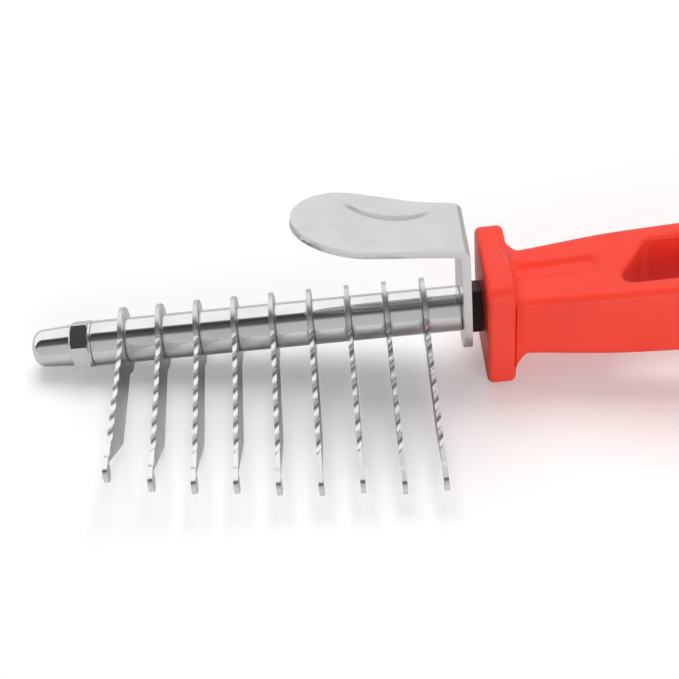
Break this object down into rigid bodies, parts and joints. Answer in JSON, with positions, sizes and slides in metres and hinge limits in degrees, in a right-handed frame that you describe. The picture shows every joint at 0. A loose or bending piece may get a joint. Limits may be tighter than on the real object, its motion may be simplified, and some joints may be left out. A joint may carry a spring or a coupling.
{
  "type": "dematting comb",
  "caption": "Pet grooming comb with serrated, round-tipped steel blades and spacers clamped on a rod by a cap nut, a bent steel thumb rest and a moulded plastic grip.",
  "frame": {"origin": "centre of the hang hole near the handle's butt, on the rod's axis", "axes": "+X along the rod and out of the butt, -Y the way the blades point, +Z the thumb rest's side"},
  "size_m": [0.2082, 0.0577, 0.0458],
  "materials": {
    "polished_steel": "polished and plated, fine turning marks",
    "blade_steel": "ground flats with bright ground serrations",
    "satin_steel": "satin plate with a polished edge",
    "rod_steel": "zinc-plated thread",
    "black_steel": "black oxide",
    "insert_brass": "plain",
    "red_plastic": "satin-gloss moulded plastic"
  },
  "bodies": {
    "handle": {"handle": "red_plastic", "anchor_nut": "insert_brass", "clamp_rod": "rod_steel", "jam_nut": "black_steel", "thumb_rest": "satin_steel", "spacer_1": "polished_steel", "spacer_2": "polished_steel", "spacer_3": "polished_steel", "spacer_4": "polished_steel", "spacer_5": "polished_steel", "spacer_6": "polished_steel", "spacer_7": "polished_steel", "spacer_8": "polished_steel", "spacer_9": "polished_steel", "spacer_10": "polished_steel"},
    "blade_1": {"blade_1": "blade_steel"},
    "blade_2": {"blade_2": "blade_steel"},
    "blade_3": {"blade_3": "blade_steel"},
    "blade_4": {"blade_4": "blade_steel"},
    "blade_5": {"blade_5": "blade_steel"},
    "blade_6": {"blade_6": "blade_steel"},
    "blade_7": {"blade_7": "blade_steel"},
    "blade_8": {"blade_8": "blade_steel"},
    "blade_9": {"blade_9": "blade_steel"},
    "washer": {"nut_washer": "polished_steel"},
    "cap_nut": {"cap_nut": "polished_steel"}
  },
  "joints": [
    {"name": "blade_1_swivel", "type": "hinge", "parent": "handle", "child": "blade_1", "pos_m": [-0.1784, 0, 0], "axis": [1, 0, 0], "continuous": true},
    {"name": "blade_2_swivel", "type": "hinge", "parent": "handle", "child": "blade_2", "pos_m": [-0.1699, 0, 0], "axis": [1, 0, 0], "continuous": true},
    {"name": "blade_3_swivel", "type": "hinge", "parent": "handle", "child": "blade_3", "pos_m": [-0.1614, 0, 0], "axis": [1, 0, 0], "continuous": true},
    {"name": "blade_4_swivel", "type": "hinge", "parent": "handle", "child": "blade_4", "pos_m": [-0.1529, 0, 0], "axis": [1, 0, 0], "continuous": true},
    {"name": "blade_5_swivel", "type": "hinge", "parent": "handle", "child": "blade_5", "pos_m": [-0.1444, 0, 0], "axis": [1, 0, 0], "continuous": true},
    {"name": "blade_6_swivel", "type": "hinge", "parent": "handle", "child": "blade_6", "pos_m": [-0.1359, 0, 0], "axis": [1, 0, 0], "range_deg": [-60, 210]},
    {"name": "blade_7_swivel", "type": "hinge", "parent": "handle", "child": "blade_7", "pos_m": [-0.1274, 0, 0], "axis": [1, 0, 0], "range_deg": [-60, 210]},
    {"name": "blade_8_swivel", "type": "hinge", "parent": "handle", "child": "blade_8", "pos_m": [-0.1189, 0, 0], "axis": [1, 0, 0], "range_deg": [-60, 210]},
    {"name": "blade_9_swivel", "type": "hinge", "parent": "handle", "child": "blade_9", "pos_m": [-0.1104, 0, 0], "axis": [1, 0, 0], "range_deg": [-60, 210]},
    {"name": "nut_travel", "type": "slide", "parent": "handle", "child": "washer", "axis": [-1, 0, 0], "range_m": [0, 0.00301]},
    {"name": "nut_turn", "type": "hinge", "parent": "washer", "child": "cap_nut", "pos_m": [-0.1903, 0, 0], "axis": [-1, 0, 0], "range_deg": [0, 1080]}
  ],
  "couplings": [
    {"joint": "nut_travel", "follows": "nut_turn", "m_per_rad": 0.00015915}
  ]
}
